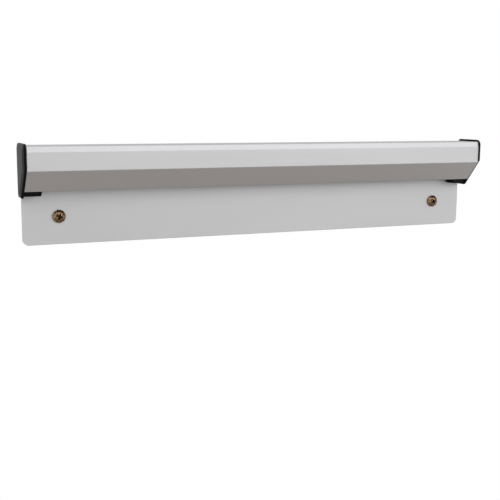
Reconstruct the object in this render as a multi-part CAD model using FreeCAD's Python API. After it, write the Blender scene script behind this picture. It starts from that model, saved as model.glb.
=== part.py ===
import FreeCAD, Part
import math
import os

# Order ticket rail.
# One aluminium extrusion is both the back plate and the hood in front of it. Glass
# marbles lie in the groove between the plate and the hood's sloping underside. What is
# pushed up through the mouth lifts them, and their weight then wedges it against the
# plate. Moulded caps push into the two ends, and two screws hold the plate to a wall.
#
# Frame: X runs along the rail, +Y points into the wall and +Z up. The origin is on the
# wall, midway between the two screws. Depth is the distance out from the wall, which is
# minus Y. Heights are measured from the line of the screws. All sizes are in millimetres.

# Extrusion
RAIL_LENGTH = 300.0
RAIL_HEIGHT = 57.5
PLATE_THICKNESS = 1.5
PLATE_CORNER_RADIUS = 3.5
HOOD_WALL = 1.5
SLOPE_ANGLE = 49.2
MOUTH_WIDTH = 8.9
BAND_HEIGHT = 3.2
BAND_LEAN = 0.8
TOP_CORNER_RADIUS = 0.5
BAND_EDGE_RADIUS = 0.5
FACE_EDGE_RADIUS = 0.7
CUT_EDGE_RADIUS = 0.3
LIP_NOSE_SHARE = 0.48
HOLLOW_RADII = (0.0, 1.0, 1.8, 1.0, 0.0)

# Marbles
MARBLE_DIAMETER = 16.0
MARBLE_SEAT_GAP = 0.1
MARBLE_ROOM_IN_FRONT = 3.9
MARBLE_ROOM_ABOVE = 5.0
MARBLE_LEAST_SPACING = 2.0

# Wall screws
SCREW_SPACING = 258.0
SCREW_DROP = 41.2
SCREW_THREAD_RADIUS = 2.1
SCREW_NECK_RADIUS = 1.6
SCREW_NECK_PAST_PLATE = 0.3
SCREW_HOLE_CLEARANCE = 0.15
SCREW_HEAD_RADIUS = 3.8
SCREW_HEAD_HEIGHT = 2.6
SCREW_RIM_HEIGHT = 0.8
SCREW_LENGTH_IN_WALL = 25.0
SCREW_POINT_LENGTH = 4.0
RECESS_SPAN = 4.4
RECESS_WIDTH = 1.1
RECESS_DEPTH = 1.9
RECESS_FLOOR_SPAN = 1.7
RECESS_FLOOR_WIDTH = 0.7
LEFT_SCREW_TURN = 20.0
RIGHT_SCREW_TURN = 62.0

# End caps
CAP_PROUD_TOP = 1.3
CAP_PROUD_FRONT = 0.6
CAP_RECESS_SLOPE = 0.3
CAP_RIM_THICKNESS = 1.4
CAP_BEVEL_HEIGHT = 0.7
CAP_BEVEL_WIDTH = 3.2
CAP_SHOULDER_CHAMFER = 0.7
CAP_RADII = (1.0, 2.8, 3.4, 2.6, 1.6)
CAP_BELOW_FOOT = 1.0
PLUG_LENGTH = 10.0
PLUG_CLEARANCE = 0.2
PLUG_WALL = 1.4
PLUG_LEAD_LENGTH = 1.2
PLUG_LEAD_TAPER = 0.5
PLUG_RIB_THICKNESS = 1.2
UPRIGHT_RIB_SHARE = 0.45
GRIP_RIB_RADIUS = 0.6
GRIP_RIB_GAP = 0.04
GRIP_RIB_SHARES = (0.3, 0.7)
FOOT_DROP = 2.7
FOOT_SETBACK = 1.5
FOOT_TOP_GAP = 0.1
FOOT_EDGE_RADIUS = 0.8

LEAST_RADIUS = 0.4

# A marble's centre where it rests against both the plate and the slope
MARBLE_RADIUS = MARBLE_DIAMETER / 2
SEAT_REACH = MARBLE_RADIUS + MARBLE_SEAT_GAP
SEAT_DEPTH = PLATE_THICKNESS + SEAT_REACH
SLOPE_RUN = math.cos(math.radians(SLOPE_ANGLE))
SLOPE_RISE = math.sin(math.radians(SLOPE_ANGLE))
SEAT_ABOVE_LIP = (SEAT_REACH + (SEAT_REACH - MOUTH_WIDTH) * SLOPE_RISE) / SLOPE_RUN

# The hood, which is sized round the marbles and their travel
HOOD_DEPTH = SEAT_DEPTH + MARBLE_RADIUS + MARBLE_ROOM_IN_FRONT + HOOD_WALL
LIP_REACH = PLATE_THICKNESS + MOUTH_WIDTH + HOOD_WALL / SLOPE_RISE
LIP_DROP = HOOD_WALL + MARBLE_ROOM_ABOVE + MARBLE_RADIUS + SEAT_ABOVE_LIP
HOOD_TOP = SCREW_DROP
LIP_HEIGHT = HOOD_TOP - LIP_DROP
FACE_BOTTOM = LIP_HEIGHT + (HOOD_DEPTH - LIP_REACH) * SLOPE_RISE / SLOPE_RUN
SEAT_HEIGHT = LIP_HEIGHT + SEAT_ABOVE_LIP

PLATE_BOTTOM = HOOD_TOP - RAIL_HEIGHT
FOOT_BOTTOM = LIP_HEIGHT - FOOT_DROP
CAP_BOTTOM = FOOT_BOTTOM - CAP_BELOW_FOOT
RAIL_END = RAIL_LENGTH / 2
PLUG_END = RAIL_END - PLUG_LENGTH


def vector(x, depth, height):
    """A point given by its place along the rail, its depth and its height."""
    return FreeCAD.Vector(x, -depth, height)


def outline(corners, x):
    """A closed wire across the rail at x, through (depth, height, radius) corners."""
    spans = []
    for i, (depth, height, radius) in enumerate(corners):
        corner = vector(x, depth, height)
        before = vector(x, *corners[i - 1][:2])
        after = vector(x, *corners[(i + 1) % len(corners)][:2])
        if radius <= 0:
            spans.append((corner, None, corner))
            continue
        back = (before - corner).normalize()
        on = (after - corner).normalize()
        half_angle = back.getAngle(on) / 2
        reach = radius / math.tan(half_angle)
        middle = corner + (back + on).normalize() * (radius / math.sin(half_angle) - radius)
        spans.append((corner + back * reach, middle, corner + on * reach))
    edges = []
    for i, (start, middle, end) in enumerate(spans):
        if middle is not None:
            edges.append(Part.Arc(start, middle, end).toShape())
        edges.append(Part.LineSegment(end, spans[(i + 1) % len(spans)][0]).toShape())
    return Part.Wire(edges)


def prism(corners, start, end):
    """The solid that an outline sweeps along the rail from start to end."""
    return Part.Face(outline(corners, start)).extrude(FreeCAD.Vector(end - start, 0, 0))


def inset(corners, distances):
    """A convex outline with each side moved inwards by its own distance.

    Side i runs from corner i to the next. A negative distance moves it outwards, and a
    rounded corner keeps its centre while it stays round. A sharp corner stays sharp.
    """
    count = len(corners)
    lines = []
    for i in range(count):
        depth, height = corners[i][:2]
        run = corners[(i + 1) % count][0] - depth
        rise = corners[(i + 1) % count][1] - height
        length = math.hypot(run, rise)
        normal = (rise / length, -run / length)
        lines.append((*normal, normal[0] * depth + normal[1] * height + distances[i]))
    moved = []
    for i in range(count):
        a, b, c = lines[i - 1]
        d, e, f = lines[i]
        cross = a * e - b * d
        radius = corners[i][2]
        if radius > 0:
            radius = max(radius - min(distances[i - 1], distances[i]), LEAST_RADIUS)
        moved.append(((c * e - b * f) / cross, (a * f - c * d) / cross, radius))
    return moved


def rounded(corners, radii):
    """The same outline with new corner radii."""
    return [(depth, height, radius) for (depth, height, _), radius in zip(corners, radii)]


def hood_corners(bottom):
    """The hood's outside without its band, carried down its slope to a height.

    The sides follow in this order: back, top, front, slope and the open mouth.
    """
    tip = LIP_REACH + (bottom - LIP_HEIGHT) * SLOPE_RUN / SLOPE_RISE
    return [
        (0, bottom, 0),
        (0, HOOD_TOP, 0),
        (HOOD_DEPTH, HOOD_TOP, 0),
        (HOOD_DEPTH, FACE_BOTTOM, 0),
        (tip, bottom, 0),
    ]


def hollow_corners():
    """The hollow inside the hood, from its ceiling down to the level of the lip."""
    walls = [PLATE_THICKNESS, HOOD_WALL, HOOD_WALL, HOOD_WALL, 0]
    return rounded(inset(hood_corners(LIP_HEIGHT), walls), HOLLOW_RADII)


def plug_corners():
    """The plug's outside, which follows the hollow with a clearance."""
    gaps = [PLUG_CLEARANCE] * 4 + [-FOOT_TOP_GAP]
    return inset(hollow_corners(), gaps)


def screw_places():
    return [-SCREW_SPACING / 2, SCREW_SPACING / 2]


def rail_extrusion():
    """The plate and the hood as one open section, holed and with rounded lower corners."""
    hollow = hollow_corners()
    nose_radius = HOOD_WALL * LIP_NOSE_SHARE
    nose_inside = (LIP_REACH - SLOPE_RISE * HOOD_WALL, LIP_HEIGHT + SLOPE_RUN * HOOD_WALL)
    section = [
        (0, PLATE_BOTTOM, CUT_EDGE_RADIUS),
        (0, HOOD_TOP, CUT_EDGE_RADIUS),
        (HOOD_DEPTH - BAND_LEAN, HOOD_TOP, TOP_CORNER_RADIUS),
        (HOOD_DEPTH, HOOD_TOP - BAND_HEIGHT, BAND_EDGE_RADIUS),
        (HOOD_DEPTH, FACE_BOTTOM, FACE_EDGE_RADIUS),
        (LIP_REACH, LIP_HEIGHT, nose_radius),
        (*nose_inside, nose_radius),
        hollow[3],
        hollow[2],
        hollow[1],
        (PLATE_THICKNESS, PLATE_BOTTOM, CUT_EDGE_RADIUS),
    ]
    rail = prism(section, -RAIL_END, RAIL_END).common(front_blank())
    for x in screw_places():
        rail = rail.cut(screw_hole(x))
    return rail


def front_blank():
    """The rail's outline seen from the front, as a block deeper than the rail."""
    corner = vector(-RAIL_END, 2 * HOOD_DEPTH, PLATE_BOTTOM)
    block = Part.makeBox(RAIL_LENGTH, 3 * HOOD_DEPTH, 2 * RAIL_HEIGHT, corner)
    lower = [edge for edge in block.Edges
             if edge.BoundBox.ZMax < LIP_HEIGHT and edge.BoundBox.YLength > HOOD_DEPTH]
    return block.makeFillet(PLATE_CORNER_RADIUS, lower)


def screw_hole(x):
    radius = SCREW_THREAD_RADIUS + SCREW_HOLE_CLEARANCE
    start = vector(x, 2 * PLATE_THICKNESS, 0)
    return Part.makeCylinder(radius, 3 * PLATE_THICKNESS, start, FreeCAD.Vector(0, 1, 0))


def cap_flange():
    """The flange that covers the right end, with its bevelled outer face."""
    proud = [0, -CAP_PROUD_TOP, -CAP_PROUD_FRONT, CAP_RECESS_SLOPE, 0]
    rim = rounded(inset(hood_corners(CAP_BOTTOM), proud), CAP_RADII)
    bevel_start = RAIL_END + CAP_RIM_THICKNESS
    face = inset(rim, [CAP_BEVEL_WIDTH] * len(rim))
    wires = [outline(rim, bevel_start), outline(face, bevel_start + CAP_BEVEL_HEIGHT)]
    flange = prism(rim, RAIL_END, bevel_start).fuse(Part.makeLoft(wires, True, True))
    shoulder = [edge for edge in flange.Edges
                if abs(edge.BoundBox.XMin - bevel_start) < 1e-6
                and abs(edge.BoundBox.XMax - bevel_start) < 1e-6]
    return flange.makeChamfer(CAP_SHOULDER_CHAMFER, shoulder)


def cap_plug():
    """The plug that pushes into the hood: a cored block with a tapered lead and grip ribs."""
    corners = plug_corners()
    lead_start = PLUG_END + PLUG_LEAD_LENGTH
    plug = prism(corners, lead_start, RAIL_END)
    taper = [PLUG_LEAD_TAPER] * 4 + [0]
    narrow = outline(inset(corners, taper), PLUG_END)
    plug = plug.fuse(Part.makeLoft([outline(corners, lead_start), narrow], True, True))
    along = FreeCAD.Vector(1, 0, 0)
    for depth, height in grip_rib_places():
        start = vector(lead_start, depth, height)
        rib = Part.makeCylinder(GRIP_RIB_RADIUS, RAIL_END - lead_start, start, along)
        plug = plug.fuse(rib)
    return plug.cut(plug_cores())


def grip_rib_places():
    """Centres, as (depth, height), of the grip ribs on the plug's top and front."""
    sink = GRIP_RIB_RADIUS + GRIP_RIB_GAP
    ceiling = HOOD_TOP - HOOD_WALL
    front = HOOD_DEPTH - HOOD_WALL
    width = front - PLATE_THICKNESS
    places = [(PLATE_THICKNESS + width * share, ceiling - sink) for share in GRIP_RIB_SHARES]
    places.append((front - sink, (ceiling + FACE_BOTTOM) / 2))
    return places


def plug_cores():
    """The pockets that core the plug, split into cells by one upright and one level rib."""
    pocket = inset(plug_corners(), [PLUG_WALL] * 5)
    cores = prism(pocket, PLUG_END, RAIL_END)
    depths = [corner[0] for corner in pocket]
    half = PLUG_RIB_THICKNESS / 2
    upright_depth = min(depths) + (max(depths) - min(depths)) * UPRIGHT_RIB_SHARE
    upright_corner = vector(PLUG_END, upright_depth + half, CAP_BOTTOM)
    upright = Part.makeBox(PLUG_LENGTH, PLUG_RIB_THICKNESS, HOOD_TOP - CAP_BOTTOM, upright_corner)
    level_corner = vector(PLUG_END, HOOD_DEPTH, FACE_BOTTOM + half)
    level = Part.makeBox(PLUG_LENGTH, HOOD_DEPTH, PLUG_RIB_THICKNESS, level_corner)
    return cores.cut(upright.fuse(level))


def cap_foot():
    """The foot under the plug, which closes the end of the mouth and shows under the lip.

    Its front carries on down at the hood's slope.
    """
    back = PLATE_THICKNESS + PLUG_CLEARANCE
    top = LIP_HEIGHT - FOOT_TOP_GAP
    top_front = LIP_REACH - FOOT_SETBACK
    bottom_front = top_front - (top - FOOT_BOTTOM) * SLOPE_RUN / SLOPE_RISE
    corners = [
        (back, FOOT_BOTTOM, 0),
        (back, top, 0),
        (top_front, top, 0),
        (bottom_front, FOOT_BOTTOM, FOOT_EDGE_RADIUS),
    ]
    foot = prism(corners, PLUG_END, RAIL_END)
    tip = [edge for edge in foot.Edges
           if edge.BoundBox.XMax < PLUG_END + FOOT_EDGE_RADIUS
           and edge.BoundBox.ZMax < FOOT_BOTTOM + FOOT_EDGE_RADIUS / 2]
    return foot.makeFillet(FOOT_EDGE_RADIUS / 2, tip)


def right_end_cap():
    return cap_flange().fuse([cap_plug(), cap_foot()]).removeSplitter()


def left_end_cap():
    return right_end_cap().mirror(FreeCAD.Vector(0, 0, 0), FreeCAD.Vector(1, 0, 0))


def rectangle(depth, width, height):
    """A closed wire facing out from the wall, centred on the origin's axis."""
    signs = ((-1, -1), (1, -1), (1, 1), (-1, 1), (-1, -1))
    return Part.makePolygon([vector(x * width / 2, depth, z * height / 2) for x, z in signs])


def recess_slot():
    """One slot of the cross recess, tapering from the top of the head to its floor."""
    top = PLATE_THICKNESS + SCREW_HEAD_HEIGHT
    mouth = rectangle(top, RECESS_SPAN, RECESS_WIDTH)
    floor = rectangle(top - RECESS_DEPTH, RECESS_FLOOR_SPAN, RECESS_FLOOR_WIDTH)
    return Part.makeLoft([mouth, floor], True, True)


def wall_screw(x, turn):
    """A pan-head screw seated on the plate.

    A plain neck goes through the plate, and the thread, drawn as its outer cylinder, starts
    behind it and ends in a point.
    """
    top = PLATE_THICKNESS + SCREW_HEAD_HEIGHT
    rim = PLATE_THICKNESS + SCREW_RIM_HEIGHT
    dome_radius = (SCREW_HEAD_RADIUS ** 2 + (top - rim) ** 2) / (2 * (top - rim))
    half_turn = math.asin(SCREW_HEAD_RADIUS / dome_radius) / 2
    shoulder = vector(dome_radius * math.sin(half_turn),
                      top - dome_radius * (1 - math.cos(half_turn)), 0)
    dome = Part.Arc(vector(0, top, 0), shoulder, vector(SCREW_HEAD_RADIUS, rim, 0)).toShape()
    sides = Part.makePolygon([
        vector(SCREW_HEAD_RADIUS, rim, 0),
        vector(SCREW_HEAD_RADIUS, PLATE_THICKNESS, 0),
        vector(SCREW_NECK_RADIUS, PLATE_THICKNESS, 0),
        vector(SCREW_NECK_RADIUS, -SCREW_NECK_PAST_PLATE, 0),
        vector(SCREW_THREAD_RADIUS, -SCREW_NECK_PAST_PLATE, 0),
        vector(SCREW_THREAD_RADIUS, SCREW_POINT_LENGTH - SCREW_LENGTH_IN_WALL, 0),
        vector(0, -SCREW_LENGTH_IN_WALL, 0),
        vector(0, top, 0),
    ])
    profile = Part.Face(Part.Wire([dome, *sides.Edges]))
    axis = FreeCAD.Vector(0, 1, 0)
    centre = FreeCAD.Vector(0, 0, 0)
    screw = profile.revolve(centre, axis, 360)
    for slot_turn in (turn, turn + 90):
        slot = recess_slot()
        slot.rotate(centre, axis, slot_turn)
        screw = screw.cut(slot)
    screw.translate(FreeCAD.Vector(x, 0, 0))
    return screw


def marble_places():
    """Places along the rail that share the length between the plugs evenly."""
    channel = 2 * PLUG_END
    pitch = MARBLE_DIAMETER + MARBLE_LEAST_SPACING
    count = int((channel - MARBLE_LEAST_SPACING) / pitch)
    gap = (channel - count * MARBLE_DIAMETER) / (count + 1)
    first = -PLUG_END + gap + MARBLE_RADIUS
    return [first + i * (MARBLE_DIAMETER + gap) for i in range(count)]


def marble(x):
    return Part.makeSphere(MARBLE_RADIUS, vector(x, SEAT_DEPTH, SEAT_HEIGHT))


def build():
    """Every piece of the rail by its name."""
    left, right = screw_places()
    pieces = {
        "rail_extrusion": rail_extrusion(),
        "left_end_cap": left_end_cap(),
        "right_end_cap": right_end_cap(),
        "left_wall_screw": wall_screw(left, LEFT_SCREW_TURN),
        "right_wall_screw": wall_screw(right, RIGHT_SCREW_TURN),
    }
    for number, x in enumerate(marble_places(), start=1):
        pieces[f"marble_{number:02d}"] = marble(x)
    return pieces


os.makedirs("parts", exist_ok=True)
for name, shape in build().items():
    shape.exportStep(f"parts/{name}.step")
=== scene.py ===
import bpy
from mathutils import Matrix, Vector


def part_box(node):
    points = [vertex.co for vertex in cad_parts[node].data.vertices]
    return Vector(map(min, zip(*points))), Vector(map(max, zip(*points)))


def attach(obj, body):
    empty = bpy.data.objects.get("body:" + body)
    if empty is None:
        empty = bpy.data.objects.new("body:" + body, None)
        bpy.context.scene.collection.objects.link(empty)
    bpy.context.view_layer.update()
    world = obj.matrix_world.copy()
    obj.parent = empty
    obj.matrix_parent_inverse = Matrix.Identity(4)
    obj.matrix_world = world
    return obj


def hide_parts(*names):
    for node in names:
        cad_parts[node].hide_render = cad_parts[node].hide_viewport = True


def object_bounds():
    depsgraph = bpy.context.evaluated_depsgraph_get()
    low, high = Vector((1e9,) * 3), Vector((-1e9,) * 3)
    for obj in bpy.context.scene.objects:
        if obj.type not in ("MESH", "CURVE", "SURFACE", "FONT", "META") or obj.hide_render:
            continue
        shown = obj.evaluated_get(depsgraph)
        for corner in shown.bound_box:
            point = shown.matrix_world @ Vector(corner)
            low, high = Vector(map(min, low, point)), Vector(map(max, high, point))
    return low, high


bl_info = {
    "name": "Order Ticket Rail",
    "version": (1, 0, 0),
    "blender": (4, 5, 0),
    "location": "3D View > Sidebar > Ticket Rail",
    "description": "Caps, screws, marbles, finishes and a studio for an order ticket rail",
    "category": "Object",
}

import math

import bmesh
import bpy
from bpy.props import FloatProperty, FloatVectorProperty, PointerProperty
from bpy.types import Operator, Panel, PropertyGroup
from mathutils import Matrix, Vector

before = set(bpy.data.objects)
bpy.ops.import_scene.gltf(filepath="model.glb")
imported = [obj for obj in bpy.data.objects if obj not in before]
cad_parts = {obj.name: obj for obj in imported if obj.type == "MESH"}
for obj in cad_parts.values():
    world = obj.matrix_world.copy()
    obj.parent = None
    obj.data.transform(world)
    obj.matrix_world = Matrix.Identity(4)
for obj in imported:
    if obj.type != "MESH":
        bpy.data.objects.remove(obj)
CAD_LOW, CAD_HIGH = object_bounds()
RAIL_LOW, RAIL_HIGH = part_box("rail_extrusion")
CAP_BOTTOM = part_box("right_end_cap")[0].z

# The rail is in metres with X along it, +Y into the wall and +Z up. Depth is minus Y.

BODY = "rail"  # The fixed body, which everything but the marbles rides
SHARP_ANGLE = math.radians(32)  # Shading breaks at edges that turn by more than this
ARC_STEPS = 10  # Steps round a corner of a section
EDGE_STEPS = 4  # Steps round a small edge


# Settings

def length_property(name, default, description):
    """A size in metres, shown in the scene's own unit."""
    return FloatProperty(name=name, description=description, default=default, min=0,
                         precision=5, subtype="DISTANCE", unit="LENGTH")


def share_property(name, default, description):
    """A number from 0 to 1."""
    return FloatProperty(name=name, description=description, default=default,
                         min=0, max=1, subtype="FACTOR")


def angle_property(name, degrees, description):
    """An angle, whose default is given in degrees."""
    return FloatProperty(name=name, description=description, default=math.radians(degrees),
                         subtype="ANGLE", unit="ROTATION")


def colour_property(name, default, description):
    """A linear colour of red, green and blue."""
    return FloatVectorProperty(name=name, description=description, default=default,
                               size=3, min=0, max=1, subtype="COLOR")


class HoodSection(PropertyGroup):
    """Sizes of the hood's section, which the caps follow."""

    plate_thickness: length_property("Plate", 0.0015, "Thickness of the back plate")
    wall: length_property("Wall", 0.0015, "Thickness of the hood's walls")
    mouth_width: length_property("Mouth", 0.0089, "Gap between the plate and the lip")
    slope_angle: angle_property("Slope", 49.2, "Angle of the hood's underside to the floor")


class EndCapShape(PropertyGroup):
    """Sizes of the moulded end caps."""

    proud_top: length_property("Proud on top", 0.0013, "Flange above the hood's top")
    proud_front: length_property("Proud in front", 0.0006, "Flange in front of the hood")
    recess_slope: length_property("Behind the slope", 0.0003, "Flange short of the slope")
    rim: length_property("Rim", 0.0014, "Height of the flange's edge")
    inner_edge: length_property("Inner edge", 0.00014, "Rounding of the edge at the hood")
    bevel_height: length_property("Bevel height", 0.0007, "Rise of the bevelled outer face")
    bevel_width: length_property("Bevel width", 0.0032, "Width of the bevel")
    shoulder: length_property("Shoulder", 0.0010, "Rounding between rim and bevel")
    face_edge: length_property("Face edge", 0.0020, "Rounding between bevel and face")
    below_foot: length_property("Below the foot", 0.0010, "Flange below the foot")
    plug_length: length_property("Plug", 0.0100, "Length of the plug in the hood")
    plug_clearance: length_property("Clearance", 0.0002, "Gap round the plug")
    plug_wall: length_property("Plug wall", 0.0014, "Wall of the cored plug")
    plug_edge: length_property("Plug edges", 0.0004, "Least rounding of the plug's edges")
    lead_length: length_property("Lead", 0.0012, "Length of the plug's tapered start")
    lead_taper: length_property("Taper", 0.0005, "Inset at the plug's start")
    rib: length_property("Rib", 0.0012, "Thickness of the ribs in the plug")
    grip_radius: length_property("Grip ribs", 0.0006, "Radius of the ribs that grip the hood")
    grip_gap: length_property("Grip gap", 0.00004, "Gap between the grip ribs and the hood")
    foot_drop: length_property("Foot", 0.0027, "Drop of the foot below the lip")
    foot_setback: length_property("Foot setback", 0.0015, "Foot behind the lip's front")
    foot_gap: length_property("Foot gap", 0.0001, "Gap between the lip and the foot")
    foot_edge: length_property("Foot edge", 0.0008, "Rounding of the foot's lower edge")


class WallScrewShape(PropertyGroup):
    """Sizes of the pan-head wall screws."""

    head_radius: length_property("Head radius", 0.0038, "Radius of the head")
    head_height: length_property("Head height", 0.0026, "Height of the head at its middle")
    rim_height: length_property("Rim height", 0.0008, "Height of the head's upright side")
    rim_edge: length_property("Rim edge", 0.00022, "Rounding of the head's edge")
    neck_radius: length_property("Neck", 0.0016, "Radius of the plain neck")
    neck_end: length_property("Neck end", 0.0003, "Length of the neck behind the plate")
    core_radius: length_property("Core", 0.00142, "Radius at the thread's root")
    thread_radius: length_property("Thread", 0.0021, "Radius at the thread's crest")
    pitch: length_property("Pitch", 0.0018, "Advance of the thread in one turn")
    length: length_property("Length", 0.025, "Length in the wall")
    point: length_property("Point", 0.004, "Length of the point")
    recess_span: length_property("Recess span", 0.0044, "Span of the cross at the top")
    recess_width: length_property("Recess width", 0.0011, "Width of its slots at the top")
    recess_depth: length_property("Recess depth", 0.0019, "Depth of the cross")
    floor_span: length_property("Floor span", 0.0017, "Span of the cross at its floor")
    floor_width: length_property("Floor width", 0.0007, "Width of its slots at the floor")
    tick_width: length_property("Tick width", 0.00032, "Width of the four marks on the head")
    tick_depth: length_property("Tick depth", 0.00014, "Depth of the four marks")
    left_turn: angle_property("Left turn", 20, "How far the left screw is turned")
    right_turn: angle_property("Right turn", 62, "How far the right screw is turned")


class MarbleShape(PropertyGroup):
    """Sizes of the scar on each pressed marble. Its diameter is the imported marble's."""

    scar_radius: length_property("Scar radius", 0.0011, "Radius of the scar")
    scar_depth: length_property("Scar depth", 0.00006, "Depth of the scar")


class Finishes(PropertyGroup):
    """Colours and gloss of the four materials."""

    aluminium: colour_property("Aluminium", (0.50, 0.50, 0.51), "Satin anodised aluminium")
    aluminium_roughness: share_property("Aluminium roughness", 0.60, "Satin of the anodising")
    plastic: colour_property("Plastic", (0.005, 0.005, 0.0052), "Black moulded plastic")
    plastic_roughness: share_property("Plastic roughness", 0.42, "Fine texture of the mould")
    steel: colour_property("Steel", (0.20, 0.132, 0.08), "Yellow passivated zinc")
    steel_roughness: share_property("Steel roughness", 0.24, "Gloss of the plating")
    glass: colour_property("Glass", (0.87, 0.96, 0.92), "Tint of the marbles")
    glass_roughness: share_property("Glass roughness", 0.01, "Wear of the marbles")


class StudioLook(PropertyGroup):
    """The floor and the lights round the rail."""

    floor_colour: colour_property("Floor", (0.68, 0.60, 0.53), "Pale warm floor")
    floor_drop: length_property("Floor drop", 0.50, "Floor below the wall screws")
    floor_size: length_property("Floor size", 3.0, "Radius of the floor")
    floor_right: length_property("Floor right", 0.08, "Floor's middle right of the rail's")
    floor_front: length_property("Floor front", 0.37, "Floor's middle in front of the wall")
    fade_start: length_property("Fade start", 0.58, "Radius where the floor starts to lighten")
    fade_end: length_property("Fade end", 0.96, "Radius where the floor is white")
    ambient: share_property("Ambient", 0.44, "Level of the light from all round")
    key_power: FloatProperty(name="Key", description="Power of the low light on the right",
                             default=3.9, min=0, unit="POWER")
    fill_power: FloatProperty(name="Fill", description="Power of the high light on the left",
                              default=3.9, min=0, unit="POWER")


class CameraPlace(PropertyGroup):
    """Where the camera stands and how it is turned."""

    location: FloatVectorProperty(name="Location", description="Place of the camera", size=3,
                                  default=(-0.2351, -0.5186, 0.0629), subtype="XYZ",
                                  unit="LENGTH")
    yaw: angle_property("Yaw", 23.697, "Turn towards the rail's right end")
    pitch: angle_property("Pitch", 9.011, "Tilt down")
    roll: angle_property("Roll", 0.418, "Turn about the line of sight")
    focal_length: FloatProperty(name="Lens", description="Focal length on a 36 mm sensor",
                                default=64.68, min=1, unit="CAMERA")


class TicketRailSettings(PropertyGroup):
    """Everything that can be set on the ticket rail's looks."""

    hood: PointerProperty(type=HoodSection)
    cap: PointerProperty(type=EndCapShape)
    screw: PointerProperty(type=WallScrewShape)
    marble: PointerProperty(type=MarbleShape)
    finish: PointerProperty(type=Finishes)
    studio: PointerProperty(type=StudioLook)
    camera: PointerProperty(type=CameraPlace)


# Outlines

def arc_points(start, corner, end, radius, steps):
    """Points of the arc that rounds a corner between two straight sides."""
    back = (start - corner).normalized()
    on = (end - corner).normalized()
    half_angle = back.angle(on) / 2
    reach = radius / math.tan(half_angle)
    centre = corner + (back + on).normalized() * (radius / math.sin(half_angle))
    first = corner + back * reach - centre
    turn = math.copysign(math.pi - 2 * half_angle, on.cross(back))
    return [centre + Matrix.Rotation(turn * i / steps, 2) @ first for i in range(steps + 1)]


def rounded_loop(corners, steps=ARC_STEPS):
    """The closed outline through (across, up, radius) corners, as 2D points."""
    points = []
    for i, (across, up, radius) in enumerate(corners):
        corner = Vector((across, up))
        before = Vector(corners[i - 1][:2])
        after = Vector(corners[(i + 1) % len(corners)][:2])
        if radius > 0:
            points += arc_points(before, corner, after, radius, steps)
        else:
            points.append(corner)
    return points


def inset(corners, distances, least_radius):
    """A convex outline with each side moved inwards by its own distance.

    Side i runs from corner i to the next, and a negative distance moves it outwards.
    """
    count = len(corners)
    lines = []
    for i in range(count):
        across, up = corners[i][:2]
        run = corners[(i + 1) % count][0] - across
        rise = corners[(i + 1) % count][1] - up
        size = math.hypot(run, rise)
        normal = (rise / size, -run / size)
        lines.append((*normal, normal[0] * across + normal[1] * up + distances[i]))
    moved = []
    for i in range(count):
        a, b, c = lines[i - 1]
        d, e, f = lines[i]
        cross = a * e - b * d
        radius = corners[i][2]
        if radius > 0:
            radius = max(radius - min(distances[i - 1], distances[i]), least_radius)
        moved.append(((c * e - b * f) / cross, (a * f - c * d) / cross, radius))
    return moved


def with_radii(corners, radii):
    """The same outline with other roundings."""
    return [(across, up, radius) for (across, up, _), radius in zip(corners, radii)]


# Meshes

def mesh_object(name, build):
    """A new object whose mesh a bmesh function has filled, with its faces turned outwards."""
    shape = bmesh.new()
    build(shape)
    bmesh.ops.recalc_face_normals(shape, faces=shape.faces)
    if shape.calc_volume(signed=True) < 0:
        bmesh.ops.reverse_faces(shape, faces=shape.faces)
    mesh = bpy.data.meshes.new(name)
    shape.to_mesh(mesh)
    shape.free()
    made = bpy.data.objects.new(name, mesh)
    bpy.context.scene.collection.objects.link(made)
    return made


def skinned(name, rings):
    """A closed solid through rings of as many points each."""
    def build(shape):
        loops = [[shape.verts.new(point) for point in ring] for ring in rings]
        for near, far in zip(loops, loops[1:]):
            for i in range(len(near)):
                shape.faces.new((near[i - 1], near[i], far[i], far[i - 1]))
        shape.faces.new(loops[0])
        shape.faces.new(loops[-1])
    return mesh_object(name, build)


def ring_at(corners, x):
    """A section of the rail, as points in space at x along it."""
    return [Vector((x, -depth, height)) for depth, height in rounded_loop(corners)]


def combine(base, tool, operation):
    """Joins the tool to the base, or cuts it away, and leaves one mesh."""
    step = base.modifiers.new(operation.lower(), "BOOLEAN")
    step.operation = operation
    step.solver = "EXACT"
    step.object = tool
    bpy.context.view_layer.update()
    evaluated = base.evaluated_get(bpy.context.evaluated_depsgraph_get())
    mesh = bpy.data.meshes.new_from_object(evaluated)
    base.modifiers.remove(step)
    old = base.data
    base.data = mesh
    mesh.name = base.name
    bpy.data.meshes.remove(old)
    spent = tool.data
    bpy.data.objects.remove(tool)
    bpy.data.meshes.remove(spent)
    return base


def smooth(piece):
    """Smooth shading that breaks at sharp edges and keeps flat faces flat."""
    piece.data.shade_smooth()
    piece.data.set_sharp_from_angle(angle=SHARP_ANGLE)
    even = piece.modifiers.new("even_shading", "WEIGHTED_NORMAL")
    even.keep_sharp = True


def mirrored_along_rail(piece, name):
    """The mirror image at the other end of the rail."""
    mesh = piece.data.copy()
    mesh.transform(Matrix.Scale(-1, 4, Vector((1, 0, 0))))
    mesh.flip_normals()
    mesh.name = name
    made = bpy.data.objects.new(name, mesh)
    bpy.context.scene.collection.objects.link(made)
    return made


# Section of the hood

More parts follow.
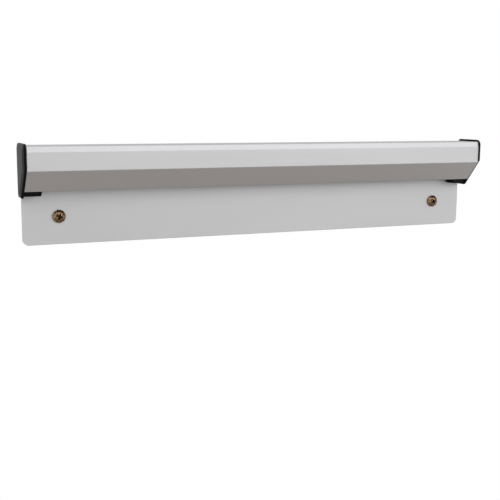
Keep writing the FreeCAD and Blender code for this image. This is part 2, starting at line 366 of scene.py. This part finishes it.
class Hood:
    """The hood's own section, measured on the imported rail."""

    def __init__(self, section, cap):
        self.plate = section.plate_thickness
        self.wall = section.wall
        self.rise = math.sin(section.slope_angle)
        self.run = math.cos(section.slope_angle)
        self.depth = -RAIL_LOW.y
        self.top = RAIL_HIGH.z
        self.end = RAIL_HIGH.x
        self.lip_reach = self.plate + section.mouth_width + self.wall / self.rise
        self.lip = CAP_BOTTOM + cap.below_foot + cap.foot_drop
        self.face_bottom = self.lip + (self.depth - self.lip_reach) * self.rise / self.run

    def corners(self, bottom):
        """The outside, carried down the slope to a height.

        Its sides are the back, the top, the front, the slope and the mouth, in this order.
        """
        tip = self.lip_reach + (bottom - self.lip) * self.run / self.rise
        return [
            (0, bottom, 0),
            (0, self.top, 0),
            (self.depth, self.top, 0),
            (self.depth, self.face_bottom, 0),
            (tip, bottom, 0),
        ]


# End caps

# Roundings at the back's foot, the back's top, the front's top, the front's foot and the lip
FLANGE_RADII = (0.0010, 0.0028, 0.0034, 0.0026, 0.0016)
PLUG_RADII = (0, 0.0010, 0.0018, 0.0010, 0)
GRIP_SHARES = (0.3, 0.7)  # Places of the two upper grip ribs, from the plate to the front
GRIP_SIDES = 24
UPRIGHT_RIB_SHARE = 0.45  # Place of the upright rib, from the plug's back to its front
JOIN = 0.0003  # How far solids that are joined run into each other


def flange(hood, cap):
    """The flange that covers the right end, with its bevelled outer face."""
    proud = [0, -cap.proud_top, -cap.proud_front, cap.recess_slope, 0]
    rim = with_radii(inset(hood.corners(CAP_BOTTOM), proud, 0), FLANGE_RADII)
    start = Vector((cap.inner_edge * 2, 0))
    inner = Vector((0, 0))
    shoulder = Vector((0, cap.rim))
    face_edge = Vector((cap.bevel_width, cap.rim + cap.bevel_height))
    middle = face_edge + Vector((cap.bevel_width, 0))
    profile = [
        *arc_points(start, inner, shoulder, cap.inner_edge, EDGE_STEPS),
        *arc_points(inner, shoulder, face_edge, cap.shoulder, 2 * EDGE_STEPS),
        *arc_points(shoulder, face_edge, middle, cap.face_edge, EDGE_STEPS),
    ]
    rings = [ring_at(inset(rim, [inwards] * len(rim), cap.plug_edge), hood.end + out)
             for inwards, out in profile]
    return skinned("right_cap", rings)


def plug_corners(hood, cap):
    """The plug's outside, which follows the hood's hollow with a clearance."""
    walls = [hood.plate, hood.wall, hood.wall, hood.wall, 0]
    hollow = with_radii(inset(hood.corners(hood.lip), walls, 0), PLUG_RADII)
    gaps = [cap.plug_clearance] * 4 + [-cap.foot_gap]
    return inset(hollow, gaps, cap.plug_edge)


def box_between(name, low, high):
    """A block between two corners, for cutting and joining."""
    sides = ((0, 0), (1, 0), (1, 1), (0, 1))
    rings = []
    for x in (low.x, high.x):
        rings.append([Vector((x, (low.y, high.y)[j], (low.z, high.z)[k])) for j, k in sides])
    return skinned(name, rings)


def plug(hood, cap):
    """The cored plug with its tapered lead and the ribs that grip the hood."""
    corners = plug_corners(hood, cap)
    inner = hood.end - cap.plug_length
    lead = inner + cap.lead_length
    taper = inset(corners, [cap.lead_taper] * 4 + [0], cap.plug_edge)
    rings = [ring_at(taper, inner), ring_at(corners, lead), ring_at(corners, hood.end + JOIN)]
    made = skinned("plug", rings)
    for depth, height in grip_rib_places(hood, cap):
        made = combine(made, grip_rib(depth, height, lead, hood.end + JOIN, cap), "UNION")
    pocket = inset(corners, [cap.plug_wall] * len(corners), cap.plug_edge)
    cores = skinned("cores", [ring_at(pocket, inner - JOIN), ring_at(pocket, hood.end)])
    depths = [corner[0] for corner in pocket]
    half = cap.rib / 2
    middle = min(depths) + (max(depths) - min(depths)) * UPRIGHT_RIB_SHARE
    upright = box_between("upright_rib", Vector((inner, -middle - half, 0)),
                          Vector((hood.end + JOIN, -middle + half, hood.top)))
    level = box_between("level_rib", Vector((inner, -hood.depth, hood.face_bottom - half)),
                        Vector((hood.end + JOIN, 0, hood.face_bottom + half)))
    cores = combine(cores, upright, "DIFFERENCE")
    cores = combine(cores, level, "DIFFERENCE")
    return combine(made, cores, "DIFFERENCE")


def grip_rib_places(hood, cap):
    """Centres, as (depth, height), of the grip ribs on the plug's top and front."""
    sink = cap.grip_radius + cap.grip_gap
    ceiling = hood.top - hood.wall
    front = hood.depth - hood.wall
    places = [(hood.plate + (front - hood.plate) * share, ceiling - sink)
              for share in GRIP_SHARES]
    places.append((front - sink, (ceiling + hood.face_bottom) / 2))
    return places


def grip_rib(depth, height, start, end, cap):
    """One half-sunk round rib along the plug, with a rounded start."""
    radius = cap.grip_radius
    rings = []
    for i in range(EDGE_STEPS + 1):
        turn = math.pi / 2 * (i + 1) / (EDGE_STEPS + 1)
        rings.append(circle(start + radius * (1 - math.sin(turn)), depth, height,
                            radius * math.sin(turn)))
    rings.append(circle(end, depth, height, radius))
    return skinned("grip_rib", rings)


def circle(x, depth, height, radius):
    """A ring of a grip rib, at x along the rail."""
    turns = [2 * math.pi * i / GRIP_SIDES for i in range(GRIP_SIDES)]
    return [Vector((x, radius * math.sin(t) - depth, height + radius * math.cos(t)))
            for t in turns]


def foot(hood, cap):
    """The foot that closes the end of the mouth and carries on down at the slope."""
    lean = hood.run / hood.rise
    back = hood.plate + cap.plug_clearance
    front = hood.lip_reach - cap.foot_setback
    top = hood.lip - cap.foot_gap
    bottom = hood.lip - cap.foot_drop
    inner = hood.end - cap.plug_length
    edge = cap.foot_edge / 2
    corners = [
        (back, bottom, edge),
        (back, top + JOIN, 0),
        (front + JOIN * lean, top + JOIN, 0),
        (front - (top - bottom) * lean, bottom, cap.foot_edge),
    ]
    rings = []
    for i in range(EDGE_STEPS + 1):
        turn = math.pi / 2 * i / EDGE_STEPS
        inwards = edge * (1 - math.sin(turn))
        narrowed = inset(corners, [inwards, 0, inwards, inwards], cap.inner_edge)
        rings.append(ring_at(narrowed, inner + edge * (1 - math.cos(turn))))
    rings.append(ring_at(corners, hood.end + JOIN))
    return skinned("foot", rings)


def right_cap(hood, cap):
    """Flange, plug and foot as one moulding."""
    made = flange(hood, cap)
    made = combine(made, plug(hood, cap), "UNION")
    return combine(made, foot(hood, cap), "UNION")


# Wall screws

HEAD_SIDES = 96
HEAD_DOME_STEPS = 14
THREAD_ROWS = (0.0, 0.30, 0.485, 0.515, 0.70)  # Shares of the pitch
CREST_ROWS = (2, 3)  # Which of them are the crest
THREAD_FADE = 0.0016  # Length over which the thread rises behind the neck
SPARE_TURNS = 2  # Turns of the thread that run out in the tip
RECESS_PROUD = 0.0004  # How far the recess's cutter starts outside the head
RECESS_CORNER = 0.00012
RECESS_CORNER_STEPS = 3
TICK_START, TICK_END = 0.0014, 0.0030  # Distances from the middle of the head


def dome_radius(screw):
    """Radius of the ball that the head's dome is cut from."""
    rise = screw.head_height - screw.rim_height
    return (screw.head_radius ** 2 + rise ** 2) / (2 * rise)


def head_profile(screw, seat):
    """Radius and depth of the head and neck, from the middle of the dome to the thread."""
    dome = dome_radius(screw)
    edge = screw.rim_edge
    widest = math.asin(screw.head_radius / dome) - edge / dome
    profile = []
    for i in range(1, HEAD_DOME_STEPS + 1):
        turn = widest * i / HEAD_DOME_STEPS
        depth = seat + screw.head_height - dome * (1 - math.cos(turn))
        profile.append((dome * math.sin(turn), depth))
    dome_reach, dome_depth = profile[-1]
    out = screw.head_radius - dome_reach
    for i in range(1, EDGE_STEPS + 1):
        turn = math.pi / 2 * i / EDGE_STEPS
        profile.append((screw.head_radius - out * (1 - math.sin(turn)),
                        dome_depth - edge * (1 - math.cos(turn))))
    profile.append((screw.head_radius, seat + edge / 2))
    profile.append((screw.head_radius - edge / 2, seat))
    profile.append((screw.neck_radius, seat))
    profile.append((screw.neck_radius, -screw.neck_end))
    return profile


def threaded_radius(screw, along, crest):
    """Radius of the thread's root or crest at a distance along the shank."""
    straight = screw.length - screw.point
    taper = min(1.0, (screw.length - along) / screw.point)
    if not crest:
        return screw.core_radius * taper
    fade = min(1.0, (along - screw.neck_end) / THREAD_FADE) if along < straight else 1.0
    return (screw.core_radius + (screw.thread_radius - screw.core_radius) * fade) * taper


def screw_body(name, screw, seat):
    """Head, neck and thread as one closed skin about the Y axis.

    The rows of the thread climb with it, so that its crest is one unbroken edge.
    """
    turns = [2 * math.pi * i / HEAD_SIDES for i in range(HEAD_SIDES)]
    rows_a_turn = len(THREAD_ROWS)
    start = screw.neck_end
    thread_turns = math.ceil((screw.length - start) / screw.pitch)
    last_row = rows_a_turn * (thread_turns + SPARE_TURNS)

    def build(shape):
        def point(radius, depth, i):
            return shape.verts.new((radius * math.cos(turns[i]), -depth,
                                    radius * math.sin(turns[i])))

        def face(corners):
            kept = [v for i, v in enumerate(corners) if v is not corners[i - 1]]
            if len(kept) > 2:
                shape.faces.new(kept)

        middle = shape.verts.new((0, -(seat + screw.head_height), 0))
        tip = shape.verts.new((0, screw.length, 0))
        profile = head_profile(screw, seat)
        rings = [[point(r, d, i) for i in range(HEAD_SIDES)] for r, d in profile]
        for i in range(HEAD_SIDES):
            face((middle, rings[0][i - 1], rings[0][i]))
            for near, far in zip(rings, rings[1:]):
                face((near[i - 1], near[i], far[i], far[i - 1]))

        def thread_point(i, row):
            turn, step = divmod(row, rows_a_turn)
            along = start + screw.pitch * (turn + THREAD_ROWS[step] + i / HEAD_SIDES - 1)
            if along <= start:
                return rings[-1][i]
            if along >= screw.length:
                return tip
            return point(threaded_radius(screw, along, step in CREST_ROWS), -along, i)

        columns = [[thread_point(i, row) for row in range(last_row + rows_a_turn + 1)]
                   for i in range(HEAD_SIDES)]
        columns.append(columns[0][rows_a_turn:])
        for i in range(HEAD_SIDES):
            near, far = columns[i], columns[i + 1]
            for row in range(last_row):
                face((near[row], near[row + 1], far[row + 1], far[row]))

    return mesh_object(name, build)


def cross_corners(span, width):
    """The outline of a cross about the origin."""
    a, b, r = span / 2, width / 2, RECESS_CORNER
    arm = [(a, -b, r), (a, b, r), (b, b, r)]
    corners = []
    for quarter in range(4):
        turn = Matrix.Rotation(math.pi / 2 * quarter, 2)
        corners += [(*(turn @ Vector((across, up))), radius) for across, up, radius in arm]
    return corners


def recess_cutter(screw, seat):
    """The tapered cross that is cut into the head."""
    top = seat + screw.head_height
    rings = []
    for level in (-RECESS_PROUD, screw.recess_depth):
        share = level / screw.recess_depth
        span = screw.recess_span + (screw.floor_span - screw.recess_span) * share
        width = screw.recess_width + (screw.floor_width - screw.recess_width) * share
        loop = rounded_loop(cross_corners(span, width), RECESS_CORNER_STEPS)
        rings.append([Vector((across, level - top, up)) for across, up in loop])
    return skinned("recess", rings)


def tick_cutter(screw, seat, turn):
    """A shallow V groove that runs out over the dome between two arms of the cross."""
    dome = dome_radius(screw)
    rings = []
    for radius in (TICK_START, TICK_END):
        surface = seat + screw.head_height - dome + math.sqrt(dome ** 2 - radius ** 2)
        proud = surface + screw.tick_depth
        rings.append([Vector((radius, -(surface - screw.tick_depth), 0)),
                      Vector((radius, -proud, screw.tick_width)),
                      Vector((radius, -proud, -screw.tick_width))])
    made = skinned("tick", rings)
    made.data.transform(Matrix.Rotation(turn, 4, "Y"))
    return made


def wall_screw(name, node, turn, screw, seat):
    """A pan-head screw with a cross recess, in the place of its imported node."""
    made = screw_body(name, screw, seat)
    made = combine(made, recess_cutter(screw, seat), "DIFFERENCE")
    for quarter in range(4):
        corner = math.pi / 4 + math.pi / 2 * quarter
        made = combine(made, tick_cutter(screw, seat, corner), "DIFFERENCE")
    made.data.transform(Matrix.Rotation(turn, 4, "Y"))
    low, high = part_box(node)
    made.location.x = (low.x + high.x) / 2
    return made


# Marbles

MARBLE_GRID = 20  # Squares along each edge of a marble's six sides
SIDE_TURNS = ((0, 0), (1, 0), (2, 0), (3, 0), (0, 1), (0, 3))  # Quarters about X and Y
MERGE_SHARE = 0.001  # Points nearer than this share of the radius are one
GOLDEN_TURN = math.pi * (3 - math.sqrt(5))  # Turns each marble's scar another way


def cube_side_points(steps):
    """The points of one side of a cube of size 2, spaced evenly by angle."""
    places = [math.tan(math.pi / 4 * (2 * i / steps - 1)) for i in range(steps + 1)]
    return [[Vector((across, up, 1)) for up in places] for across in places]


def marble(name, node, number, shape):
    """A glass ball of six gridded sides, with the flat scar that the shears leave on it."""
    low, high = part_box(node)
    radius = (high.z - low.z) / 2
    scar_turn = shape.scar_radius / radius

    def at(direction):
        turn = direction.angle(Vector((0, 0, 1)))
        sunk = shape.scar_depth * max(0.0, 1 - (turn / scar_turn) ** 2) ** 2
        return direction.normalized() * (radius - sunk)

    def build(ball):
        for quarter_x, quarter_y in SIDE_TURNS:
            turned = (Matrix.Rotation(math.pi / 2 * quarter_x, 3, "X")
                      @ Matrix.Rotation(math.pi / 2 * quarter_y, 3, "Y"))
            grid = [[ball.verts.new(at(turned @ point)) for point in column]
                    for column in cube_side_points(MARBLE_GRID)]
            for near, far in zip(grid, grid[1:]):
                for i in range(MARBLE_GRID):
                    ball.faces.new((near[i], near[i + 1], far[i + 1], far[i]))
        bmesh.ops.remove_doubles(ball, verts=ball.verts, dist=radius * MERGE_SHARE)

    made = mesh_object(name, build)
    made.data.transform(Matrix.Rotation(GOLDEN_TURN * number, 4, "Z")
                        @ Matrix.Rotation(GOLDEN_TURN * number * 2, 4, "X"))
    made.location = (low + high) / 2
    return made


# Materials

WHITE = (1.0, 1.0, 1.0, 1.0)

# Cells of the noise to a metre, along X, Y and Z
DIE_LINES = (6.0, 5200.0, 5200.0)
ANODISING_CLOUD = (9.0, 60.0, 60.0)
MOULD_SPECK = (3800.0, 3800.0, 3800.0)
MOULD_CLOUD = (140.0, 140.0, 140.0)
PLATING_CLOUD = (900.0, 900.0, 900.0)
PLATING_GRAIN = (2600.0, 2600.0, 2600.0)
GLASS_SCUFF = (500.0, 500.0, 500.0)
GLASS_SEEDS = (160.0, 160.0, 160.0)
FLOOR_MOTTLE = (14.0, 14.0, 14.0)

# Octaves of the noise
FINE = 2.0
CLOUDY = 3.0
WORN = 4.0

# Tones that a colour is multiplied by, at the noise's low end and at its high end
ALUMINIUM_TONES = (1.03, 0.95)
PLASTIC_TONES = (0.85, 1.25)
GLASS_TONES = (0.94, 1.04)
FLOOR_TONES = (0.98, 1.02)
UMBER_TONE = (0.60, 0.57, 0.62)
GOLD_TONE = (1.50, 1.48, 1.30)
# Share of the steel's colour left deep in the screw's recess, as painted shade
RECESS_SHADE_TONE = 0.12
BLOTCH_EDGES = (0.35, 0.65)  # Noise at which the plating is all umber, and all gold

# How far a roughness swings to either side of its setting
ALUMINIUM_SWING = 0.03
PLASTIC_SWING = 0.05
STEEL_SWING = 0.08

# Height of a bump in metres, and how strongly it shows
DIE_BUMP = (0.00002, 0.12)
MOULD_BUMP = (0.00002, 0.2)
PLATING_BUMP = (0.00003, 0.2)

ALUMINIUM_EDGE_TINT = (0.55, 0.55, 0.55, 1.0)  # Dulls the metal at a grazing angle
PLASTIC_SPECULAR = 0.05
GLASS_IOR = 1.52
FLOOR_ROUGHNESS = 0.7


def add(tree, kind, inputs=None, **settings):
    """A node with its settings, where an input is a value or another node's output."""
    made = tree.nodes.new(kind)
    for name, value in settings.items():
        setattr(made, name, value)
    for name, value in (inputs or {}).items():
        connect(tree, made.inputs[name], value)
    return made


def connect(tree, socket, value):
    """Gives a socket a value, or links another node's output to it."""
    if isinstance(value, bpy.types.NodeSocket):
        tree.links.new(value, socket)
    else:
        socket.default_value = value


def new_material(name):
    """An empty node material, and its tree."""
    material = bpy.data.materials.new(name)
    material.use_nodes = True
    material.node_tree.nodes.clear()
    return material, material.node_tree


def output(tree, shader):
    """Ends a material's tree with its shader."""
    add(tree, "ShaderNodeOutputMaterial", {"Surface": shader})


def calculated(tree, operation, *inputs):
    """The result of a Math node on numbers and other nodes' outputs."""
    return add(tree, "ShaderNodeMath", dict(enumerate(inputs)), operation=operation).outputs[0]


def grain(tree, scale, detail=FINE):
    """Noise in the object's own metres, stretched by a scale for each axis."""
    place = add(tree, "ShaderNodeTexCoord").outputs["Object"]
    sized = add(tree, "ShaderNodeMapping", {"Vector": place, "Scale": scale})
    noise = add(tree, "ShaderNodeTexNoise",
                {"Vector": sized.outputs["Vector"], "Scale": 1.0, "Detail": detail})
    return noise.outputs["Fac"]


def ramp(tree, value, start, end, **settings):
    """From 0 at the start to 1 at the end of a value's range."""
    mapped = add(tree, "ShaderNodeMapRange",
                 {"Value": value, "From Min": start, "From Max": end}, **settings)
    return mapped.outputs["Result"]


def spread(tree, factor, low, high):
    """A factor from 0 to 1 mapped to between two values."""
    mapped = add(tree, "ShaderNodeMapRange", {"Value": factor, "To Min": low, "To Max": high})
    return mapped.outputs["Result"]


def toned(colour, tones):
    """A colour with each channel multiplied by its own tone."""
    return (*(channel * tone for channel, tone in zip(colour, tones)), 1.0)


def tinted(colour, tone):
    """A colour with all channels multiplied by one tone."""
    return toned(colour, (tone, tone, tone))


def blend_colours(tree, factor, first, second):
    """From the first colour to the second as the factor goes from 0 to 1."""
    mix = add(tree, "ShaderNodeMix", {"Factor": factor}, data_type="RGBA")
    connect(tree, mix.inputs["A"], first)
    connect(tree, mix.inputs["B"], second)
    return mix.outputs["Result"]


def mottled(tree, factor, colour, tones):
    """A colour that goes from one tone of itself to another as the factor rises."""
    first, second = tones
    return blend_colours(tree, factor, tinted(colour, first), tinted(colour, second))


def uneven(tree, factor, middle, swing):
    """A value that swings to either side of its middle."""
    return spread(tree, factor, middle - swing, middle + swing)


def bumped(tree, relief, bump):
    """The normal of a surface that noise roughens."""
    height, strength = bump
    made = add(tree, "ShaderNodeBump",
               {"Height": relief, "Strength": strength, "Distance": height})
    return made.outputs["Normal"]


def anodised_aluminium(finish):
    """Satin anodising over the fine lengthwise lines that the die leaves."""
    material, tree = new_material("anodised_aluminium")
    lines = grain(tree, DIE_LINES)
    cloud = grain(tree, ANODISING_CLOUD, CLOUDY)
    tone = calculated(tree, "MULTIPLY", lines, cloud)
    shader = add(tree, "ShaderNodeBsdfPrincipled", {
        "Base Color": mottled(tree, tone, finish.aluminium, ALUMINIUM_TONES),
        "Metallic": 1.0,
        "Roughness": uneven(tree, cloud, finish.aluminium_roughness, ALUMINIUM_SWING),
        "Specular Tint": ALUMINIUM_EDGE_TINT,
        "Normal": bumped(tree, lines, DIE_BUMP),
    })
    output(tree, shader.outputs["BSDF"])
    return material


def moulded_plastic(finish):
    """Black plastic with the fine even texture of a spark-eroded mould."""
    material, tree = new_material("black_plastic")
    speck = grain(tree, MOULD_SPECK)
    cloud = grain(tree, MOULD_CLOUD, CLOUDY)
    shader = add(tree, "ShaderNodeBsdfPrincipled", {
        "Base Color": mottled(tree, cloud, finish.plastic, PLASTIC_TONES),
        "Roughness": uneven(tree, cloud, finish.plastic_roughness, PLASTIC_SWING),
        "Specular IOR Level": PLASTIC_SPECULAR,
        "Normal": bumped(tree, speck, MOULD_BUMP),
    })
    output(tree, shader.outputs["BSDF"])
    return material


def recess_depth(tree, screw, seat):
    """From 0 on the head's dome to 1 deep in its recess, by the place in the screw: the mask
    of the painted shade in the cross recess.
    """
    place = add(tree, "ShaderNodeSeparateXYZ",
                {0: add(tree, "ShaderNodeTexCoord").outputs["Object"]}).outputs
    across = calculated(tree, "MULTIPLY", place["X"], place["X"])
    reach_squared = calculated(tree, "MULTIPLY_ADD", place["Z"], place["Z"], across)
    sagged = calculated(tree, "DIVIDE", reach_squared, 2 * dome_radius(screw))
    above = calculated(tree, "SUBTRACT", place["Y"], sagged)
    below = calculated(tree, "ADD", above, seat + screw.head_height)
    sunk = ramp(tree, below, screw.tick_depth, screw.recess_depth / 2)
    inside = calculated(tree, "LESS_THAN", reach_squared, (screw.recess_span / 2) ** 2)
    in_head = calculated(tree, "LESS_THAN", place["Y"], -seat)
    return calculated(tree, "MULTIPLY", sunk, calculated(tree, "MULTIPLY", inside, in_head))


def passivated_steel(finish, screw, seat):
    """Zinc plating that yellow passivation leaves blotched, with painted shade that darkens
    its recess.
    """
    material, tree = new_material("passivated_steel")
    blotch = ramp(tree, grain(tree, PLATING_CLOUD, CLOUDY), *BLOTCH_EDGES)
    fine = grain(tree, PLATING_GRAIN)
    plating = blend_colours(tree, blotch, toned(finish.steel, UMBER_TONE),
                            toned(finish.steel, GOLD_TONE))
    shader = add(tree, "ShaderNodeBsdfPrincipled", {
        # Painted shade: the colour darkens deep in the cross recess, where shade would fall
        "Base Color": blend_colours(tree, recess_depth(tree, screw, seat), plating,
                                    tinted(finish.steel, RECESS_SHADE_TONE)),
        "Metallic": 1.0,
        "Roughness": uneven(tree, blotch, finish.steel_roughness, STEEL_SWING),
        "Normal": bumped(tree, fine, PLATING_BUMP),
    })
    output(tree, shader.outputs["BSDF"])
    return material


def marble_glass(finish):
    """Clear pressed glass with a green tint and a little rolling wear."""
    material, tree = new_material("marble_glass")
    scuff = grain(tree, GLASS_SCUFF, WORN)
    seeds = grain(tree, GLASS_SEEDS)
    rough = finish.glass_roughness
    shader = add(tree, "ShaderNodeBsdfPrincipled", {
        "Base Color": mottled(tree, seeds, finish.glass, GLASS_TONES),
        "Roughness": uneven(tree, scuff, rough, rough),
        "IOR": GLASS_IOR,
        "Transmission Weight": 1.0,
    })
    output(tree, shader.outputs["BSDF"])
    return material


def floor_paint(studio):
    """A pale floor that turns, away from the rail, into a painted white glow that stands in
    for a lit white sweep.
    """
    material, tree = new_material("studio_floor")
    place = add(tree, "ShaderNodeTexCoord").outputs["Object"]
    away = add(tree, "ShaderNodeVectorMath", {0: place}, operation="LENGTH").outputs["Value"]
    fade = ramp(tree, away, studio.fade_start, studio.fade_end,
                interpolation_type="SMOOTHSTEP")
    mottle = grain(tree, FLOOR_MOTTLE, WORN)
    paint = add(tree, "ShaderNodeBsdfPrincipled", {
        "Base Color": mottled(tree, mottle, studio.floor_colour, FLOOR_TONES),
        "Roughness": FLOOR_ROUGHNESS,
    })
    # Painted light: an emission that makes the far floor glow white
    white = add(tree, "ShaderNodeEmission", {"Color": WHITE, "Strength": 1.0})
    shader = add(tree, "ShaderNodeMixShader", {
        0: fade,
        1: paint.outputs["BSDF"],
        2: white.outputs["Emission"],
    })
    output(tree, shader.outputs["Shader"])
    return material


# Stage

# Degrees round the rail, with 0 in front and 90 on the right, and degrees up
KEY_LIGHT = {"azimuth": 30, "elevation": 20}
FILL_LIGHT = {"azimuth": -30, "elevation": 45}
LIGHT_DISTANCE = 1.2
LIGHT_SIZE = (0.9, 0.6)
FLOOR_SIDES = 96
SENSOR_WIDTH = 36
CLIP_RANGE = (0.01, 100)


def area_light(name, azimuth, elevation, power):
    """A soft light aimed at the rail's middle."""
    lamp = bpy.data.lights.new(name, "AREA")
    lamp.shape = "RECTANGLE"
    lamp.size, lamp.size_y = LIGHT_SIZE
    lamp.energy = power
    made = bpy.data.objects.new(name, lamp)
    bpy.context.scene.collection.objects.link(made)
    turn, lift = math.radians(azimuth), math.radians(elevation)
    centre = (CAD_LOW + CAD_HIGH) / 2
    away = Vector((math.sin(turn) * math.cos(lift), -math.cos(turn) * math.cos(lift),
                   math.sin(lift)))
    made.matrix_world = (Matrix.Translation(centre + away * LIGHT_DISTANCE)
                         @ away.to_track_quat("Z", "Y").to_matrix().to_4x4())
    made.visible_camera = False
    return made


def floor(studio):
    """A round floor under the rail."""
    def build(shape):
        bmesh.ops.create_circle(shape, cap_ends=True, segments=FLOOR_SIDES,
                                radius=studio.floor_size)

    made = mesh_object("floor", build)
    made.location = (studio.floor_right, -studio.floor_front, -studio.floor_drop)
    made.data.materials.append(floor_paint(studio))
    return made


def white_world(studio):
    """An even soft light that the camera, metal and glass see as a white background."""
    world = bpy.data.worlds.new("studio")
    bpy.context.scene.world = world
    world.use_nodes = True
    tree = world.node_tree
    tree.nodes.clear()
    rays = add(tree, "ShaderNodeLightPath").outputs
    seen = calculated(tree, "MAXIMUM", rays["Is Camera Ray"], rays["Is Glossy Ray"])
    seen = calculated(tree, "MAXIMUM", seen, rays["Is Transmission Ray"])
    level = spread(tree, seen, studio.ambient, 1.0)
    sky = add(tree, "ShaderNodeBackground", {"Color": WHITE, "Strength": level})
    add(tree, "ShaderNodeOutputWorld", {"Surface": sky.outputs["Background"]})


def place_camera(place):
    """The camera at the angle that the rail was pictured from."""
    data = bpy.data.cameras.new("camera")
    data.sensor_width = SENSOR_WIDTH
    data.lens = place.focal_length
    data.clip_start, data.clip_end = CLIP_RANGE
    camera = bpy.data.objects.new("camera", data)
    bpy.context.scene.collection.objects.link(camera)
    forward = Vector((math.sin(place.yaw) * math.cos(place.pitch),
                      math.cos(place.yaw) * math.cos(place.pitch),
                      -math.sin(place.pitch)))
    right = Vector((math.cos(place.yaw), -math.sin(place.yaw), 0))
    up = right.cross(forward)
    tilted_right = math.cos(place.roll) * right + math.sin(place.roll) * up
    tilted_up = math.cos(place.roll) * up - math.sin(place.roll) * right
    turn = Matrix((tilted_right, tilted_up, -forward)).transposed().to_4x4()
    camera.matrix_world = Matrix.Translation(place.location) @ turn
    bpy.context.scene.camera = camera


# Operators

def dress(node, material):
    """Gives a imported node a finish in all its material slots."""
    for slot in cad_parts[node].material_slots:
        slot.material = material


def coat(piece, material):
    """Gives a modelled piece its one finish and its shading."""
    piece.data.materials.clear()
    piece.data.materials.append(material)
    smooth(piece)


class TICKETRAIL_OT_extrusion(Operator):
    """Give the extrusion its satin anodised finish."""

    bl_idname = "ticket_rail.extrusion"
    bl_label = "Extrusion"

    def execute(self, context):
        dress("rail_extrusion", anodised_aluminium(context.scene.ticket_rail.finish))
        return {"FINISHED"}


class TICKETRAIL_OT_end_caps(Operator):
    """Model the two moulded caps with their bevelled flanges, plugs and feet."""

    bl_idname = "ticket_rail.end_caps"
    bl_label = "End Caps"

    def execute(self, context):
        settings = context.scene.ticket_rail
        right = right_cap(Hood(settings.hood, settings.cap), settings.cap)
        left = mirrored_along_rail(right, "left_cap")
        material = moulded_plastic(settings.finish)
        for piece, node in ((left, "left_end_cap"), (right, "right_end_cap")):
            coat(piece, material)
            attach(piece, BODY)
            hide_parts(node)
        return {"FINISHED"}


class TICKETRAIL_OT_wall_screws(Operator):
    """Model the two pan-head screws with their threads and cross recesses."""

    bl_idname = "ticket_rail.wall_screws"
    bl_label = "Wall Screws"

    def execute(self, context):
        settings = context.scene.ticket_rail
        seat = settings.hood.plate_thickness
        screw = settings.screw
        material = passivated_steel(settings.finish, screw, seat)
        for side, turn in (("left", screw.left_turn), ("right", screw.right_turn)):
            node = f"{side}_wall_screw"
            piece = wall_screw(f"{side}_screw", node, turn, screw, seat)
            coat(piece, material)
            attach(piece, BODY)
            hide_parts(node)
        return {"FINISHED"}


class TICKETRAIL_OT_marbles(Operator):
    """Model the loose glass marbles in the groove."""

    bl_idname = "ticket_rail.marbles"
    bl_label = "Marbles"

    def execute(self, context):
        settings = context.scene.ticket_rail
        glass = marble_glass(settings.finish)
        nodes = sorted(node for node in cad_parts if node.startswith("marble_"))
        for number, node in enumerate(nodes):
            piece = marble(f"glass_{node}", node, number, settings.marble)
            coat(piece, glass)
            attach(piece, node)
            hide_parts(node)
        return {"FINISHED"}


class TICKETRAIL_OT_stage(Operator):
    """Set up the floor, the lights, the white surroundings and the camera."""

    bl_idname = "ticket_rail.stage"
    bl_label = "Stage"

    def execute(self, context):
        settings = context.scene.ticket_rail
        studio = settings.studio
        floor(studio)
        white_world(studio)
        area_light("key_light", power=studio.key_power, **KEY_LIGHT)
        area_light("fill_light", power=studio.fill_power, **FILL_LIGHT)
        place_camera(settings.camera)
        context.scene.view_settings.view_transform = "Standard"
        return {"FINISHED"}


class TICKETRAIL_PT_sidebar(Panel):
    """The ticket rail's pieces and sizes, in the sidebar of the 3D view."""

    bl_idname = "TICKETRAIL_PT_sidebar"
    bl_label = "Order Ticket Rail"
    bl_space_type = "VIEW_3D"
    bl_region_type = "UI"
    bl_category = "Ticket Rail"

    def draw(self, context):
        for operator in OPERATORS:
            self.layout.operator(operator.bl_idname)
        settings = context.scene.ticket_rail
        for group in ("hood", "cap", "screw", "marble", "finish", "studio", "camera"):
            box = self.layout.box()
            box.label(text=group.capitalize())
            part = getattr(settings, group)
            for name in part.bl_rna.properties.keys():
                if name not in ("rna_type", "name"):
                    box.prop(part, name)


GROUPS = (HoodSection, EndCapShape, WallScrewShape, MarbleShape, Finishes, StudioLook,
          CameraPlace, TicketRailSettings)
OPERATORS = (TICKETRAIL_OT_extrusion, TICKETRAIL_OT_end_caps, TICKETRAIL_OT_wall_screws,
             TICKETRAIL_OT_marbles, TICKETRAIL_OT_stage)


def register():
    for cls in (*GROUPS, *OPERATORS, TICKETRAIL_PT_sidebar):
        bpy.utils.register_class(cls)
    bpy.types.Scene.ticket_rail = PointerProperty(type=TicketRailSettings)


def unregister():
    del bpy.types.Scene.ticket_rail
    for cls in reversed((*GROUPS, *OPERATORS, TICKETRAIL_PT_sidebar)):
        bpy.utils.unregister_class(cls)


def main():
    """Make every piece and the stage."""
    register()
    bpy.ops.ticket_rail.extrusion()
    bpy.ops.ticket_rail.end_caps()
    bpy.ops.ticket_rail.wall_screws()
    bpy.ops.ticket_rail.marbles()
    bpy.ops.ticket_rail.stage()


if __name__ == "__main__":
    main()
